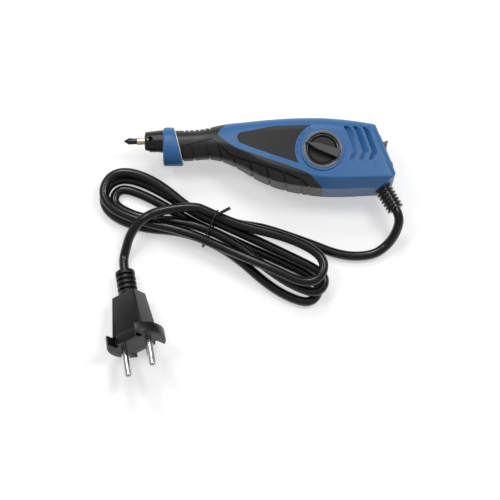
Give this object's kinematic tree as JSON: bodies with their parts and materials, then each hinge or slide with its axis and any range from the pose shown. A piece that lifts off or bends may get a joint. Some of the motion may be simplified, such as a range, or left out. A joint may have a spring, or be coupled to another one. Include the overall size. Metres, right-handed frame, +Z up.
{
  "type": "engraving pen",
  "caption": "Corded electric engraving pen: split housing with rubber grip, hammering needle driven by a magnet, depth dial, rocker switch, tied cord and mains plug.",
  "frame": {"origin": "on the surface that the back shell rests on, straight under the dial's axis", "axes": "+X from the needle to the rear end, +Y from the belly to the spine, +Z up through the dial"},
  "size_m": [0.1936, 0.1642, 0.0424],
  "materials": {
    "housing_plastic": "moulded, fine satin texture",
    "grip_rubber": "matte",
    "gasket_plastic": "satin",
    "nose_plastic": "satin",
    "label_plastic": "fine texture",
    "bezel_plastic": "satin",
    "dial_plastic": "satin",
    "switch_plastic": "satin",
    "cord_rubber": "semi-matte",
    "tie_wire": "plastic-coated wire",
    "plug_plastic": "satin",
    "pin_metal": "polished nickel",
    "needle_steel": "dark hard metal",
    "holder_brass": "turned",
    "steel": "turned or zinc-plated",
    "core_steel": "stacked sheet",
    "coil_copper": "enamelled copper wire",
    "bobbin_plastic": "satin",
    "bush_bronze": "sintered bronze",
    "damper_rubber": "matte",
    "wire_sleeve": "satin"
  },
  "bodies": {
    "housing": {"back_shell": "housing_plastic", "clamp_screws": "steel", "coil_bobbin": "bobbin_plastic", "coil_winding": "coil_copper", "collar_gasket": "gasket_plastic", "collar_ring": "housing_plastic", "cord_clamp": "steel", "cord_hank": "cord_rubber", "cord_lead": "cord_rubber", "cord_sheath_end": "cord_rubber", "cord_tail": "cord_rubber", "cord_tie": "tie_wire", "core_laminations": "core_steel", "core_rivets": "steel", "dial_bezel": "bezel_plastic", "dial_side_shell": "housing_plastic", "dial_washer": "steel", "front_bush": "bush_bronze", "grip_back_side": "grip_rubber", "grip_dial_side": "grip_rubber", "housing_screws": "steel", "label_plate": "label_plastic", "lead_wires": "wire_sleeve", "nose_cone": "nose_plastic", "plug_body": "plug_plastic", "plug_bridge": "plug_plastic", "plug_pins": "pin_metal", "rear_bush": "bush_bronze", "return_spring": "steel", "stop_damper": "damper_rubber", "strain_relief": "cord_rubber", "switch_body": "switch_plastic", "switch_terminals": "holder_brass"},
    "striker": {"needle": "needle_steel", "needle_holder": "holder_brass", "grub_screw": "steel", "plunger_rod": "steel", "armature": "core_steel", "armature_nut": "steel"},
    "dial": {"dial_knob": "dial_plastic", "dial_spindle": "bobbin_plastic", "spindle_clip": "steel"},
    "strap": {"tension_slide": "steel"},
    "rocker": {"switch_rocker": "switch_plastic"}
  },
  "joints": [
    {"name": "striker_slide", "type": "slide", "parent": "housing", "child": "striker", "axis": [1, 0, 0], "range_m": [0, 0.0012], "stiffness_N_per_m": 1000, "springref_m": -0.003, "deforming": ["return_spring"]},
    {"name": "dial_turn", "type": "hinge", "parent": "housing", "child": "dial", "pos_m": [0, 0, 0.035], "axis": [0, 0, 1], "range_deg": [-60, 27]},
    {"name": "strap_slide", "type": "slide", "parent": "housing", "child": "strap", "axis": [1, 0, 0], "range_m": [-0.00068, 0.000306], "deforming": ["return_spring"]},
    {"name": "rocker_turn", "type": "hinge", "parent": "housing", "child": "rocker", "pos_m": [0.0384, 0.0013, 0.019], "axis": [0, 0, 1], "range_deg": [0, 22]}
  ],
  "couplings": [
    {"joint": "dial_turn", "follows": "strap_slide", "rad_per_m": 1538.5}
  ]
}
